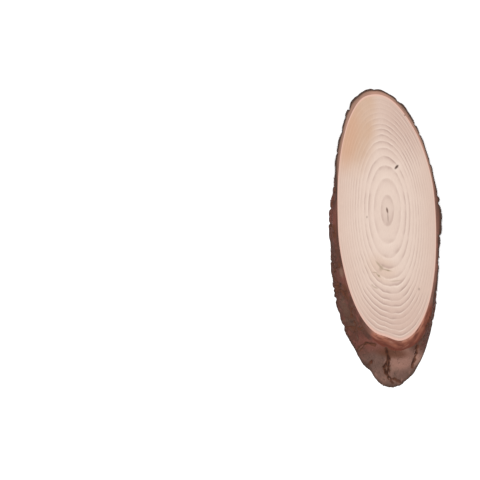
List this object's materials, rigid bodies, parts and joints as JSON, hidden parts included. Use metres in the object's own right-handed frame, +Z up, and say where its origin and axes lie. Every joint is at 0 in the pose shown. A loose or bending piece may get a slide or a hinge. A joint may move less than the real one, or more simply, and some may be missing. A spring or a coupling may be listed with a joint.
{
  "type": "wood slice",
  "caption": "Flat oval slice sawn at a slant from a conifer branch, with its bark left on: growth rings show on both cuts, and the barked side leans out in a crescent at one end.",
  "frame": {"origin": "under the middle of the slice's box, on the plane of its lower cut, which it rests on", "axes": "+Z up, square to both cuts; +Y along the oval towards the tail, where the bark is undercut; -Y towards the nose, where the barked side shows as a crescent; +X across the oval"},
  "size_m": [0.0601, 0.1614, 0.0093],
  "materials": {
    "sawn_wood": "matt, pale sawn softwood with growth rings",
    "inner_bark": "matt, sawn edge of the bark, orange-brown and fibrous",
    "outer_bark": "rough, grey-brown bark in plates with dark cracks"
  },
  "bodies": {
    "root": {"wood_slice": "sawn_wood"}
  },
  "joints": []
}
